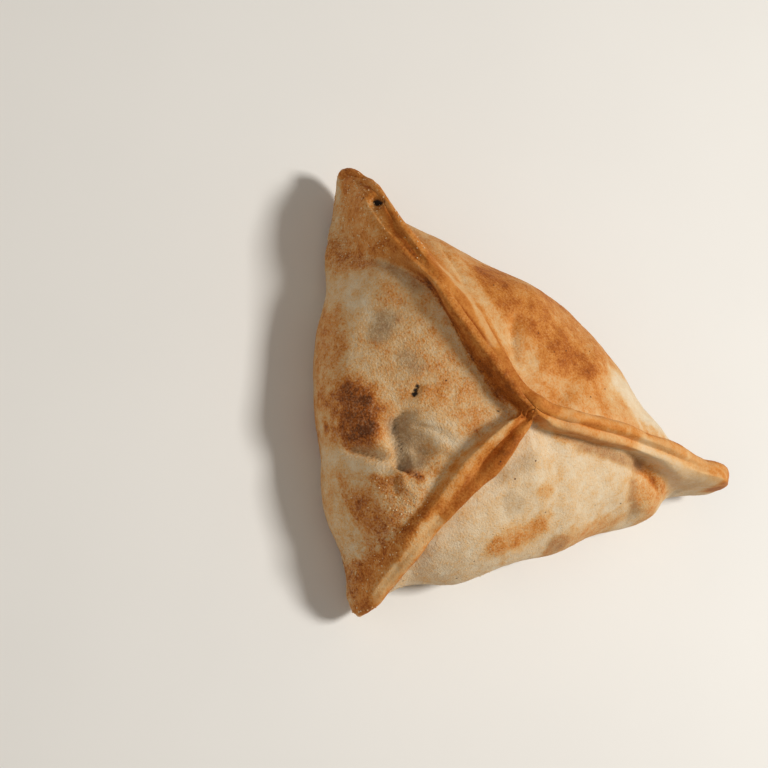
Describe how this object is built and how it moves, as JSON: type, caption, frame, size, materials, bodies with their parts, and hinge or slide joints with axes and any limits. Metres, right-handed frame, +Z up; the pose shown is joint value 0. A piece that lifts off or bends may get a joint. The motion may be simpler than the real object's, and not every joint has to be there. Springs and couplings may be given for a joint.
{
  "type": "fatayer",
  "caption": "Closed three-cornered fatayer of baked bread dough, pinched shut along seams that run from the middle to its corners.",
  "frame": {"origin": "middle of the pie's outline, on the surface it rests on", "axes": "+Z up from that surface to the seams; -Y is the side towards the viewer, with one corner on -X"},
  "size_m": [0.1024, 0.097, 0.0406],
  "materials": {
    "crust": "baked dough, matt and slightly grainy, pale in the folds and golden brown on the rises"
  },
  "bodies": {
    "root": {"pastry": "crust"}
  },
  "joints": []
}
